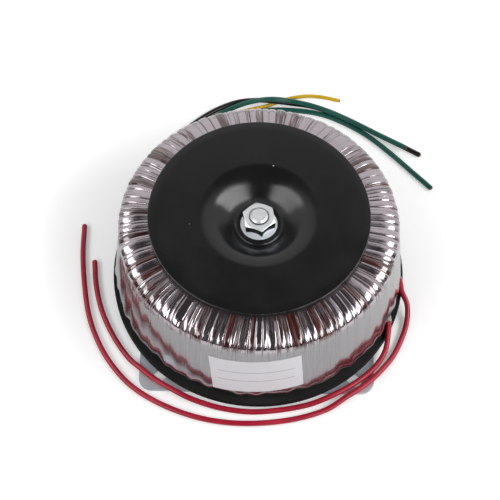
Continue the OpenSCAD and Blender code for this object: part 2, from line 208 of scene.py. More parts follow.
# ---------------------------------------------------------------------------------------------
# Shader nodes
# ---------------------------------------------------------------------------------------------
class Tree:
    """A node tree that is filled by short calls."""

    def __init__(self, tree: bpy.types.NodeTree) -> None:
        """Takes the tree to fill."""
        self.tree = tree

    def add(self, kind: str, inputs: dict[str | int, object] | None = None,
            **settings: object) -> bpy.types.Node:
        """Adds a node.

        Args:
            kind: Blender's name of the node's type, without its ShaderNode prefix.
            inputs: Values or sockets for its inputs, by name or number.
            **settings: Properties of the node.

        Returns:
            The node.
        """
        node = self.tree.nodes.new(kind if kind.startswith("Node") else "ShaderNode" + kind)
        for key, value in settings.items():
            setattr(node, key, value)
        for key, value in (inputs or {}).items():
            if isinstance(value, bpy.types.NodeSocket):
                self.tree.links.new(value, node.inputs[key])
            else:
                node.inputs[key].default_value = value
        return node

    def maths(self, operation: str, a: object, b: object = 0.0, c: object = 0.0) -> bpy.types.NodeSocket:
        """Result of a Math node."""
        return self.add("Math", {0: a, 1: b, 2: c}, operation=operation).outputs[0]

    def spread(self, value: object, low: float, high: float, to_low: float,
               to_high: float) -> bpy.types.NodeSocket:
        """Maps a value from one range to another, smoothly and clamped."""
        node = self.add("MapRange", {"Value": value, "From Min": low, "From Max": high, "To Min": to_low,
                                     "To Max": to_high}, interpolation_type="SMOOTHSTEP")
        return node.outputs[0]

    def blend(self, factor: object, a: object, b: object) -> bpy.types.NodeSocket:
        """Mixes two colours."""
        node = self.add("Mix", data_type="RGBA")
        for socket, value in ((node.inputs[0], factor), (node.inputs[6], a), (node.inputs[7], b)):
            if isinstance(value, bpy.types.NodeSocket):
                self.tree.links.new(value, socket)
            else:
                socket.default_value = value if isinstance(value, float) else (*value, 1.0)
        return node.outputs[2]

    def ramp(self, value: object, stops: Sequence[tuple[float, Colour]]) -> bpy.types.NodeSocket:
        """Turns a value into a colour by a few stops."""
        node = self.add("ValToRGB", {0: value})
        elements = node.color_ramp.elements
        for i, (place, colour) in enumerate(stops):
            element = elements[i] if i < 2 else elements.new(place)
            element.position, element.color = place, (*colour, 1.0)
        return node.outputs[0]

    def places(self, scale: Colour = (1.0, 1.0, 1.0)) -> bpy.types.NodeSocket:
        """The piece's own coordinates, scaled."""
        here = self.add("TexCoord").outputs["Object"]
        return self.add("Mapping", {"Vector": here, "Scale": scale}).outputs[0]

    def stored(self, name: str) -> bpy.types.Node:
        """An attribute of the piece."""
        return self.add("Attribute", attribute_name=name)

    def noise(self, vector: object, scale: float, detail: float = 3.0,
              roughness: float = 0.5) -> bpy.types.NodeSocket:
        """Noise between 0 and 1."""
        return self.add("TexNoise", {"Vector": vector, "Scale": scale, "Detail": detail,
                                     "Roughness": roughness}).outputs[0]

    def bump(self, height: object, depth: float, normal: object = None) -> bpy.types.NodeSocket:
        """A normal bent by a height, in metres."""
        inputs = {"Height": height, "Distance": depth, "Strength": 1.0}
        if normal is not None:
            inputs["Normal"] = normal
        return self.add("Bump", inputs).outputs[0]


def effect(name: str, inputs: Sequence[tuple[str, str, float]], outputs: Sequence[str],
           fill: Callable[[Tree, bpy.types.Node, bpy.types.Node], None]) -> bpy.types.NodeTree:
    """Makes a shader node group once.

    Args:
        name: Name of the group.
        inputs: (name, socket type, first value) of each input.
        outputs: Names of its outputs, which are numbers.
        fill: Function that adds the nodes, given the tree and its two end nodes.

    Returns:
        The group's tree.
    """
    tree = bpy.data.node_groups.get(name)
    if tree:
        return tree
    tree = bpy.data.node_groups.new(name, "ShaderNodeTree")
    for label, kind, value in inputs:
        socket = tree.interface.new_socket(label, in_out="INPUT", socket_type="NodeSocket" + kind)
        if kind == "Float":
            socket.default_value = value
    for label in outputs:
        tree.interface.new_socket(label, in_out="OUTPUT", socket_type="NodeSocketFloat")
    maker = Tree(tree)
    fill(maker, maker.add("NodeGroupInput"), maker.add("NodeGroupOutput"))
    return tree


def fill_specks(tree: Tree, start: bpy.types.Node, end: bpy.types.Node) -> None:
    """Dust: small round specks, each at the middle of a Voronoi cell, where a second noise is high."""
    cells = tree.add("TexVoronoi", {"Vector": start.outputs["Place"], "Scale": start.outputs["Scale"],
                                    "Randomness": 1.0})
    near = tree.spread(cells.outputs["Distance"], 0.03, 0.09, 1.0, 0.0)
    chosen = tree.add("SeparateColor", {0: cells.outputs["Color"]}).outputs[0]
    keep = tree.maths("GREATER_THAN", chosen, tree.maths("SUBTRACT", 1.0, start.outputs["Share"]))
    tree.tree.links.new(tree.maths("MULTIPLY", near, keep), end.inputs["Mask"])


def fill_mottle(tree: Tree, start: bpy.types.Node, end: bpy.types.Node) -> None:
    """Broad cloudy change and fine grain, as two noises."""
    broad = tree.noise(start.outputs["Place"], 40.0, 3.0, 0.6)
    fine = tree.noise(start.outputs["Place"], 900.0, 2.0, 0.6)
    tree.tree.links.new(broad, end.inputs["Broad"])
    tree.tree.links.new(fine, end.inputs["Fine"])


def specks(tree: Tree, place: object, scale: float, share: float) -> bpy.types.NodeSocket:
    """Dust mask at a place, with cells a metre divided by scale wide, in a share of the cells."""
    group = effect("dust_specks",
                   [("Place", "Vector", 0.0), ("Scale", "Float", 1.0), ("Share", "Float", 0.5)],
                   ["Mask"], fill_specks)
    return tree.add("Group", {"Place": place, "Scale": scale, "Share": share}, node_tree=group).outputs[0]


def mottle(tree: Tree, place: object) -> tuple[bpy.types.NodeSocket, bpy.types.NodeSocket]:
    """Broad and fine noise at a place."""
    group = effect("mottle", [("Place", "Vector", 0.0)], ["Broad", "Fine"], fill_mottle)
    node = tree.add("Group", {"Place": place}, node_tree=group)
    return node.outputs[0], node.outputs[1]


# ---------------------------------------------------------------------------------------------
# Finishes
# ---------------------------------------------------------------------------------------------
def surface(name: str, settings: dict[str, object],
            build: Callable[[Tree], dict[str, object]]) -> bpy.types.Material:
    """Makes a material with one Principled shader.

    Args:
        name: Name of the material.
        settings: Values that are the same all over the surface.
        build: Function that adds the nodes and returns the sockets that drive the shader.

    Returns:
        The material.
    """
    material = bpy.data.materials.new(name)
    material.use_nodes = True
    material.node_tree.nodes.clear()
    tree = Tree(material.node_tree)
    shader = tree.add("BsdfPrincipled", {**settings, **build(tree)})
    tree.add("OutputMaterial", {"Surface": shader.outputs[0]})
    return material


@dataclass(frozen=True)
class FilmFinish:
    """Several turns of clear glossy film over enamelled wire.

    Where the turns lie close, their many faces act as one grey mirror. Where they part, the wire
    shows through. The wrap's own values say where: tight, slip and the painted shade of the creases.
    """

    gap_shade: Colour = (0.006, 0.002, 0.002)
    wire: Colour = (0.05, 0.013, 0.012)
    wire_highlight: Colour = (0.2, 0.05, 0.045)
    mirror: Colour = (0.56, 0.49, 0.53)
    taut: Colour = (0.3, 0.295, 0.31)

    def material(self) -> bpy.types.Material:
        """The film's material."""
        return surface("film_over_wire", {"IOR": 1.55, "Coat IOR": 1.8, "Coat Roughness": 0.05}, self.build)

    def build(self, tree: Tree) -> dict[str, object]:
        """Wires with painted shade between them and painted highlights on them run across the ring, with the
        mirror over them in a share that changes from slip to slip.
        """
        wind = tree.stored("wind").outputs["Vector"]
        crease = tree.stored("crease").outputs["Fac"]
        slip = tree.stored("slip").outputs["Fac"]
        tight = tree.stored("tight").outputs["Fac"]
        across = tree.add("Mapping", {"Vector": wind, "Scale": (1.0, 1.0, 0.03)}).outputs[0]
        wires = tree.noise(across, 95.0, 2.0, 0.7)
        threads = tree.noise(across, 260.0, 2.0, 0.5)
        broad = tree.noise(wind, 3.5, 2.0, 0.5)
        mixed = tree.maths("MULTIPLY_ADD", threads, 0.45, tree.maths("MULTIPLY", wires, 0.55))
        # The ramp paints shade in the gaps between wires and a highlight on the wires' crowns.
        wire = tree.ramp(mixed, [(0.36, self.gap_shade), (0.48, self.wire), (0.66, self.wire_highlight)])
        shown = tree.maths("MULTIPLY_ADD", mixed, 1.3, tree.maths("MULTIPLY", slip, 0.6))
        shown = tree.maths("MULTIPLY_ADD", broad, 0.5, shown)
        loose = tree.spread(shown, 1.04, 1.18, 0.0, 0.97)
        streak = tree.spread(mixed, 0.35, 0.65, 0.8, 1.0)
        share = tree.maths("MAXIMUM", loose, tree.maths("MULTIPLY", tight, streak))
        # Painted shade: in the creases the mirror share falls to nothing, so they show the dark wire colour.
        share = tree.maths("MULTIPLY", share, tree.maths("SUBTRACT", 1.0, crease))
        glass = tree.blend(tight, self.mirror, self.taut)
        colour = tree.blend(share, wire, glass)
        rough = tree.spread(threads, 0.3, 0.7, 0.1, 0.2)
        height = tree.maths("ADD", tree.maths("MULTIPLY", threads, 0.5), wires)
        depth = tree.maths("MULTIPLY", height,
                           tree.maths("SUBTRACT", 1.0, tree.maths("MULTIPLY", tight, 0.9)))
        # The coat also fades in the creases, as part of their painted shade.
        return {"Base Color": colour, "Metallic": share, "Roughness": rough,
                "Coat Weight": tree.maths("SUBTRACT", 1.0, crease), "Normal": tree.bump(depth, 0.0001)}


@dataclass(frozen=True)
class PaintFinish:
    """Smooth black paint on steel, with a faint orange peel and a little dust."""

    colour: Colour = (0.0095, 0.0095, 0.01)
    dust: Colour = (0.55, 0.53, 0.5)
    roughness: float = 0.22

    def material(self) -> bpy.types.Material:
        """The painted steel's material."""
        return surface("black_paint", {"IOR": 1.5}, self.build)

    def build(self, tree: Tree) -> dict[str, object]:
        """Peel bends the normal, cloudy wear changes the gloss, and specks lie on it."""
        place = tree.places()
        broad, fine = mottle(tree, place)
        dust = specks(tree, place, 130.0, 0.035)
        colour = tree.blend(dust, self.colour, self.dust)
        rough = tree.spread(broad, 0.3, 0.7, self.roughness - 0.04, self.roughness + 0.06)
        rough = tree.maths("ADD", rough, tree.maths("MULTIPLY", dust, 0.5))
        return {"Base Color": colour, "Roughness": rough, "Normal": tree.bump(fine, 0.000012)}


@dataclass(frozen=True)
class ZincFinish:
    """Zinc plating: satin where the face is level, and as smooth as drawn bar where it's upright."""

    name: str
    colour: Colour
    roughness: float
    streak: Colour = (1.0, 1.0, 1.0)
    satin: float = 0.0
    smoothing: float = 0.0

    def material(self) -> bpy.types.Material:
        """The plated steel's material."""
        return surface(self.name, {"IOR": 1.5}, self.build)

    def build(self, tree: Tree) -> dict[str, object]:
        """Fine lines along the rolling direction over a cloudy passivation tint.

        On level faces the plating's crystals scatter a share of the light, the finish's satin.
        """
        place = tree.places()
        normal = tree.add("NewGeometry").outputs["Normal"]
        level = tree.maths("ABSOLUTE", tree.add("SeparateXYZ", {0: normal}).outputs[2])
        level = tree.spread(level, 0.3, 0.65, 0.0, 1.0)
        broad, fine = mottle(tree, place)
        lines = tree.noise(tree.places(self.streak), 500.0, 3.0, 0.6)
        cool = tuple(c * f for c, f in zip(self.colour, (0.82, 0.88, 0.95)))
        colour = tree.blend(tree.spread(broad, 0.35, 0.7, 0.0, 1.0), self.colour, cool)
        rough = tree.spread(lines, 0.3, 0.7, self.roughness * 0.75, self.roughness * 1.3)
        rough = tree.maths("MULTIPLY", rough,
                           tree.maths("MULTIPLY_ADD", level, self.smoothing, 1 - self.smoothing))
        height = tree.maths("ADD", lines, tree.maths("MULTIPLY", fine, 0.6))
        return {"Base Color": colour, "Roughness": rough, "Normal": tree.bump(height, 0.00002),
                "Metallic": tree.maths("MULTIPLY_ADD", level, -self.satin, 1.0)}


@dataclass(frozen=True)
class RubberFinish:
    """Matt black rubber with a fine grain and pale dust in it."""

    colour: Colour = (0.011, 0.011, 0.011)
    dust: Colour = (0.09, 0.085, 0.08)

    def material(self) -> bpy.types.Material:
        """The pads' material."""
        return surface("pad_rubber", {"IOR": 1.45, "Specular IOR Level": 0.3}, self.build)

    def build(self, tree: Tree) -> dict[str, object]:
        """Grain bends the normal, and dust lightens the rubber in clouds and specks."""
        place = tree.places()
        broad, fine = mottle(tree, place)
        dust = tree.maths("ADD", tree.spread(broad, 0.5, 0.85, 0.0, 0.16), specks(tree, place, 260.0, 0.12))
        return {"Base Color": tree.blend(dust, self.colour, self.dust),
                "Roughness": tree.spread(broad, 0.3, 0.7, 0.62, 0.8), "Normal": tree.bump(fine, 0.00008)}


@dataclass(frozen=True)
class PlasticFinish:
    """Soft glossy insulation of a lead, a little scuffed."""

    name: str
    colour: Colour
    roughness: float = 0.34

    def material(self) -> bpy.types.Material:
        """The insulation's material."""
        return surface(self.name, {"IOR": 1.5, "Coat Weight": 0.25, "Coat Roughness": 0.2}, self.build)

    def build(self, tree: Tree) -> dict[str, object]:
        """Cloudy colour, a fine grain and a few specks."""
        place = tree.places()
        broad, fine = mottle(tree, place)
        pale = tuple(min(1.0, c * 1.35 + 0.01) for c in self.colour)
        colour = tree.blend(tree.spread(broad, 0.35, 0.75, 0.0, 0.7), self.colour, pale)
        colour = tree.blend(tree.maths("MULTIPLY", specks(tree, place, 500.0, 0.05), 0.5), colour,
                            (0.6, 0.58, 0.55))
        return {"Base Color": colour, "Roughness": tree.spread(broad, 0.3, 0.7, self.roughness - 0.06,
                                                               self.roughness + 0.1),
                "Normal": tree.bump(fine, 0.00002)}


@dataclass(frozen=True)
class CopperFinish:
    """Cut copper strands at the end of a lead, or enamelled wire under the film."""

    name: str
    colour: Colour
    metallic: float
    pitch: float

    def material(self) -> bpy.types.Material:
        """The copper's material."""
        return surface(self.name, {"Metallic": self.metallic, "IOR": 1.5}, self.build)

    def build(self, tree: Tree) -> dict[str, object]:
        """Round strands as Voronoi cells, with shade painted between them."""
        cells = tree.add("TexVoronoi", {"Vector": tree.places(), "Scale": 1 / self.pitch}).outputs["Distance"]
        # Painted shade: the gaps between strands are darkened.
        painted_shade = tuple(c * 0.25 for c in self.colour)
        colour = tree.blend(tree.spread(cells, 0.3, 0.6, 0.0, 1.0), self.colour, painted_shade)
        return {"Base Color": colour, "Roughness": tree.spread(cells, 0.2, 0.7, 0.3, 0.6),
                "Normal": tree.bump(tree.maths("SUBTRACT", 1.0, cells), self.pitch * 0.3)}


@dataclass(frozen=True)
class PaperFinish:
    """White coated paper with three blank ruled lines."""

    colour: Colour = (0.74, 0.72, 0.76)
    ink: Colour = (0.2, 0.19, 0.22)
    line_gap: float = 0.0085
    line_half: float = 0.00022
    slant: float = math.radians(4)
    middle: float = 0.0343

    def material(self) -> bpy.types.Material:
        """The label's material."""
        return surface("label_paper", {"IOR": 1.5, "Coat Weight": 0.3, "Coat Roughness": 0.25}, self.build)

    def build(self, tree: Tree) -> dict[str, object]:
        """Rules that follow the label's slant, fibre grain and a faint yellowing."""
        place = tree.places()
        broad, fine = mottle(tree, place)
        split = tree.add("SeparateXYZ", {0: place}).outputs
        along = tree.maths("SUBTRACT", tree.maths("MULTIPLY_ADD", split[0], -math.tan(self.slant), split[2]),
                           self.middle)
        off = tree.maths("PINGPONG", tree.maths("ADD", along, self.line_gap * 0.5), self.line_gap * 0.5)
        rule = tree.spread(off, self.line_half * 0.6, self.line_half * 1.6, 0.75, 0.0)
        inside = tree.maths("LESS_THAN", tree.maths("ABSOLUTE", along), self.line_gap * 1.3)
        margin = tree.maths("LESS_THAN", tree.maths("ABSOLUTE", split[0]), 0.0215)
        rule = tree.maths("MULTIPLY", rule, tree.maths("MULTIPLY", inside, margin))
        colour = tree.blend(tree.spread(broad, 0.4, 0.8, 0.0, 0.35), self.colour, (0.66, 0.63, 0.64))
        return {"Base Color": tree.blend(rule, colour, self.ink),
                "Roughness": tree.spread(fine, 0.3, 0.7, 0.38, 0.5), "Normal": tree.bump(fine, 0.00002)}


@dataclass(frozen=True)
class ClothFinish:
    """Woven sleeving or wound tape: two crossing sets of fine bands."""

    name: str
    colour: Colour
    pitch: float
    roughness: float = 0.6

    def material(self) -> bpy.types.Material:
        """The sleeving's or the tape's material."""
        return surface(self.name, {"IOR": 1.45}, self.build)

    def build(self, tree: Tree) -> dict[str, object]:
        """The weave's height is the product of two sine bands across each other. Where it lies low, shade is
        painted into the colour.
        """
        place = tree.places((FULL_TURN / self.pitch,) * 3)
        split = tree.add("SeparateXYZ", {0: place}).outputs
        warp = tree.maths("SINE", tree.maths("ADD", split[0], split[2]))
        weft = tree.maths("SINE", tree.maths("ADD", split[1], tree.maths("MULTIPLY", split[2], -1.0)))
        weave = tree.maths("MULTIPLY", warp, weft)
        # Painted shade: the weave's hollows are darker.
        painted_shade = tuple(c * 0.6 for c in self.colour)
        return {"Base Color": tree.blend(tree.spread(weave, -0.8, 0.8, 0.0, 1.0), painted_shade, self.colour),
                "Roughness": tree.spread(weave, -1.0, 1.0, self.roughness, self.roughness * 0.8),
                "Normal": tree.bump(weave, self.pitch * 0.15)}


# ---------------------------------------------------------------------------------------------
# Leads
# ---------------------------------------------------------------------------------------------
@dataclass
class Lead:
    """One free lead: a round insulated conductor that lies on the surface.

    It starts at its sleeve's mouth, and the path is a Catmull-Rom curve through its points.
    """

    node: str
    slot: str
    exit_angle: float
    diameter: float
    length: float
    points: Sequence[tuple[float, float, float]]
    sleeve_start: float = 0.0785
    sleeve_length: float = 0.012
    sleeve_turn: float = math.radians(25)
    sleeve_rise: float = 0.0022
    steps: int = 6
    sides: int = 24

    def mouth(self, seat: float) -> Vector:
        """Where the lead leaves its sleeve, which lies on the pad's top at the height seat."""
        along = Vector((self.sleeve_start + self.sleeve_length * math.sin(self.sleeve_turn),
                        -self.sleeve_length * math.cos(self.sleeve_turn), seat + self.sleeve_rise))
        return Matrix.Rotation(math.radians(self.exit_angle), 3, "Z") @ along

    def path(self, mouth: Vector) -> Array:
        """Points of the smooth route.

        On each span the point is the Hermite sum of its two ends and of their tangents, which are
        half the way from the point before to the point after.
        """
        knots = np.array([tuple(mouth), *self.points])
        angle = math.radians(self.exit_angle)
        heading = np.array([math.sin(self.sleeve_turn + angle), -math.cos(self.sleeve_turn + angle), 0.0])
        tangents = np.gradient(knots, axis=0)
        tangents[0] = heading * np.linalg.norm(knots[1] - knots[0])
        t = np.linspace(0, 1, self.steps, endpoint=False)[None, :, None]
        a, b, u, v = (x[:, None, :] for x in (knots[:-1], knots[1:], tangents[:-1], tangents[1:]))
        spans = ((2 * t**3 - 3 * t**2 + 1) * a + (t**3 - 2 * t**2 + t) * u
                 + (3 * t**2 - 2 * t**3) * b + (t**3 - t**2) * v)
        path = np.vstack([spans.reshape(-1, 3), knots[-1]])
        path[:, 2] = np.maximum(path[:, 2], self.diameter / 2)
        return path

    def build(self, seat: float, insulation: bpy.types.Material,
              copper: bpy.types.Material) -> bpy.types.Object:
        """Sweeps the insulation along the path and lets the conductor show at the cut end.

        A ring's points are p + r (cos a * side + sin a * up), with side level and square to the
        path.

        Args:
            seat: Height of the pad's top.
            insulation: Material of the insulation.
            copper: Material of the conductor.

        Returns:
            The lead.
        """
        mouth = self.mouth(seat)
        path = self.path(mouth)
        along = np.gradient(path, axis=0)
        along /= np.linalg.norm(along, axis=1)[:, None]
        radius = self.diameter / 2
        tip = 0.0006 * along[-1]
        rings = np.vstack([path[:1], path, path[-1:], path[-1:], path[-1:] + tip, path[-1:] + tip])
        along = np.vstack([along[:1], along, *[along[-1:]] * 4])
        radii = np.concatenate([[0.02], np.ones(len(path) - 1), [0.97, 0.9, 0.62, 0.58, 0.02]]) * radius
        side = np.cross([0.0, 0.0, 1.0], along)
        side /= np.linalg.norm(side, axis=1)[:, None]
        up = np.cross(along, side)
        turn = np.linspace(0, FULL_TURN, self.sides, endpoint=False)[None, :, None]
        points = rings[:, None, :] + radii[:, None, None] * (np.cos(turn) * side[:, None, :]
                                                             + np.sin(turn) * up[:, None, :])
        piece = new_piece(self.node + "_insulated", points, grid_quads(len(rings), self.sides), self.slot,
                          [self.node])
        piece.data.materials.append(insulation)
        piece.data.materials.append(copper)
        face_ring = np.arange(len(piece.data.polygons)) // self.sides
        piece.data.polygons.foreach_set("material_index", (face_ring >= len(rings) - 3).astype(np.int32))
        split_sharp(piece, 50)
        LOG.info("%s: %.1f mm long", piece.name, np.linalg.norm(np.diff(path, axis=0), axis=1).sum() / MM)
        return piece


# ---------------------------------------------------------------------------------------------
# Film wrap
# ---------------------------------------------------------------------------------------------
@dataclass
class FilmWrap:
    """Clear film wound round the ring in slips, gathered into pleats on the faces.

    The wrap is the ring's section swept round the axis. Each point stands off the section by the
    fold's height, which is a product of a share that depends on the way along the section and of
    a pattern that depends on the angle: flat slips that meet at creases, finer threads that the
    wire presses through, a narrow groove along each of the creases, and slow waves on the taut wall.
    """

    outer_radius: float
    low: float
    high: float
    edge_radius: float
    hole_radius: float = 0.029
    inset: float = 0.005
    fall: float = math.radians(6)
    top_round: float = 0.017
    edge: float = math.radians(44)
    edge_round: float = 0.0028
    low_round: float = 0.0085
    hole_round: float = 0.010
    slips: int = 124
    slip_tilt: float = 0.22
    puff: float = 0.38
    threads: int = 380
    thread_height: float = 0.00016
    groove_depth: float = 0.0006
    groove_width: float = 0.0038
    wave_height: float = 0.00006
    lean: float = 0.028
    columns: int = 1488
    seed: int = 7

    # Way along the section from the top pad's edge, in mm, and the share of each pattern there
    TILT_SHARE = ((-25, -3, 0, 3, 8, 15, 19, 21, 28, 56, 68, 79),
                  (0, 0, 0.2, 0.4, 0.5, 0.9, 0.5, 0.1, 0.02, 0.02, 0.06, 0))
    PUFF_SHARE = ((-3, 0, 5, 10, 15, 19, 21, 26, 56), (0, 0.1, 0.15, 0.4, 1, 0.8, 0.15, 0.03, 0))
    THREAD_SHARE = ((-3, 0, 6, 11, 19, 22, 28, 56, 79), (0, 0.25, 0.7, 1, 1, 0.3, 0.08, 0.05, 0))
    GROOVE_SHARE = ((-3, 0, 6, 18, 21, 24, 56, 68, 79), (0, 0.6, 1, 1, 0.5, 0.06, 0.03, 0.1, 0))
    WAVE_SHARE = ((21, 32, 46, 60, 68, 74, 79), (0, 0.5, 0.8, 1.2, 4.5, 5, 0))
    LEAN_SHARE = ((-3, 0, 9, 20, 79), (1, 0.9, 0.4, 0, 0))
    TIGHT_SHARE = ((20.5, 22, 62, 70, 79), (0, 1, 1, 0.45, 0.3))
    WAVES = ((13, 0.6, 0.0), (23, -0.9, 1.7), (37, 0.7, 4.1), (55, -0.4, 2.6))

    def section(self) -> tuple[Array, Array, Array]:
        """Radii, heights and outward normals along the ring's section.

        From the pad's edge the face falls a little, then bends over by a wide arc up to the angle
        edge, and by a tight one into the outer wall. The wall leans inward, and touches the tight
        arc and the one at its foot. With the centres of those two apart by (across, down), its
        normal's angle a solves across cos a - down sin a = edge_round - low_round.
        """
        hole, out, low, high = self.hole_radius, self.outer_radius, self.low, self.high
        rh, rt, re, rl = self.hole_round, self.top_round, self.edge_round, self.low_round
        start = np.array([math.sin(self.fall), math.cos(self.fall)])
        bend = np.array([math.sin(self.edge), math.cos(self.edge)])
        rim = out - self.inset - re
        flat_end = rim + re * bend[0] - rt * (bend[0] - start[0])
        touch = np.array([flat_end, high - (flat_end - self.edge_radius) * math.tan(self.fall)])
        wide = touch - rt * start
        top, foot = wide + (rt - re) * bend, (out - rl, low + rl)
        across, down = foot[0] - top[0], top[1] - foot[1]
        lean = math.acos((re - rl) / math.hypot(across, down)) - math.atan2(down, across)
        normal = np.array([math.cos(lean), math.sin(lean)])
        outline = Outline()
        outline.arc((hole + rh, low + rh), rh, 270, 180, 3).run((hole, low + rh), (hole, high - rh), 2)
        outline.arc((hole + rh, high - rh), rh, 180, 90, 3)
        outline.run((hole + rh, high), (self.edge_radius - 0.001, high), 3)
        outline.run((self.edge_radius, high), tuple(touch), 9)
        outline.arc(tuple(wide), rt, 90 - math.degrees(self.fall), 90 - math.degrees(self.edge), 10)
        outline.arc(tuple(top), re, 86 - math.degrees(self.edge), math.degrees(lean), 5)
        outline.run(tuple(top + re * normal), tuple(foot + rl * normal), 15)
        outline.arc(foot, rl, math.degrees(lean), -90, 8).run((foot[0], low), (hole + rh, low), 3)
        return outline.arrays()

    def creases(self, dice: np.random.Generator, count: int) -> Array:
        """Angles of creases at uneven distances, from 0 to a full turn."""
        gaps = dice.uniform(0.35, 1.65, count)
        return np.concatenate([[0.0], np.cumsum(gaps) / gaps.sum()]) * FULL_TURN

    def build(self, material: bpy.types.Material) -> bpy.types.Object:
        """Works out the folded film and stores what its material reads.

        Args:
            material: The film's material.

        Returns:
            The wrap.
        """
        dice = np.random.default_rng(self.seed)
        radius, height, normal = self.section()
        way = np.concatenate([[0.0], np.cumsum(np.hypot(np.diff(radius), np.diff(height)))])
        way = (way - way[np.argmin(np.abs(radius - self.edge_radius) + (height < self.high - MM))]) / MM
        share = {name: np.interp(way, *getattr(self, name))[:, None]
                 for name in ("TILT_SHARE", "PUFF_SHARE", "THREAD_SHARE", "GROOVE_SHARE",
                              "WAVE_SHARE", "LEAN_SHARE", "TIGHT_SHARE")}

        creases = self.creases(dice, self.slips)
        marks = np.round(creases / FULL_TURN * self.columns)
        turn = np.interp(np.arange(self.columns), marks, creases)
        slip = np.minimum(np.searchsorted(creases, turn, side="right") - 1, self.slips - 1)
        width = np.diff(creases)[slip]
        place = (turn - creases[slip]) / width
        width *= self.outer_radius
        tilt = self.slip_tilt * dice.uniform(-1, 1, self.slips)[slip] * (place - 0.5) * width
        puff = self.puff * dice.uniform(0.6, 1.1, self.slips)[slip] * place * (1 - place) * width
        thread_at = self.creases(dice, self.threads)
        thread_tops = dice.uniform(0, 1, self.threads)
        thread = np.interp(turn, thread_at, np.append(thread_tops, thread_tops[0]))
        nearest = np.abs(turn[:, None] - creases[None, :])
        depth = dice.uniform(0.1, 1, self.slips) ** 1.5
        groove = depth[nearest.argmin(1) % self.slips] * np.exp(-(nearest.min(1) / self.groove_width) ** 2)
        shade = dice.uniform(0, 1, self.slips)[slip]

        wave = sum(np.sin(n * turn[None, :] + along * way[:, None] * 0.1 + start)
                   for n, along, start in self.WAVES)
        rise = (share["TILT_SHARE"] * tilt + share["PUFF_SHARE"] * puff
                + self.thread_height * share["THREAD_SHARE"] * thread
                - self.groove_depth * share["GROOVE_SHARE"] * groove
                + self.wave_height * share["WAVE_SHARE"] * wave)
        lean = self.lean * np.sin(5 * turn) * np.cos(2 * turn + 1) * share["LEAN_SHARE"]
        angle = turn + lean
        around = radius[:, None] + rise * np.cos(normal)[:, None]
        points = np.stack([around * np.cos(angle), around * np.sin(angle),
                           height[:, None] + rise * np.sin(normal)[:, None]], -1)
        faces = grid_quads(len(radius), self.columns, close_rings=True)[:, ::-1]
        piece = new_piece("gathered_film", points, faces, "film", ["film_wrap"])
        piece.data.materials.append(material)
        wide = np.ones_like(rise)
        wind = np.stack([np.cos(turn) * wide, np.sin(turn) * wide,
                         way[:, None] * MM / self.outer_radius * wide], -1)
        add_values(piece, "wind", wind.reshape(-1, 3))
        # Painted shade for the material: how dark each of the creases is painted, from its groove's depth.
        add_values(piece, "crease", np.clip(1.3 * groove * share["GROOVE_SHARE"], 0, 1).ravel())
        add_values(piece, "slip", (shade * wide).ravel())
        add_values(piece, "tight", (share["TIGHT_SHARE"] * wide).ravel())
        return piece


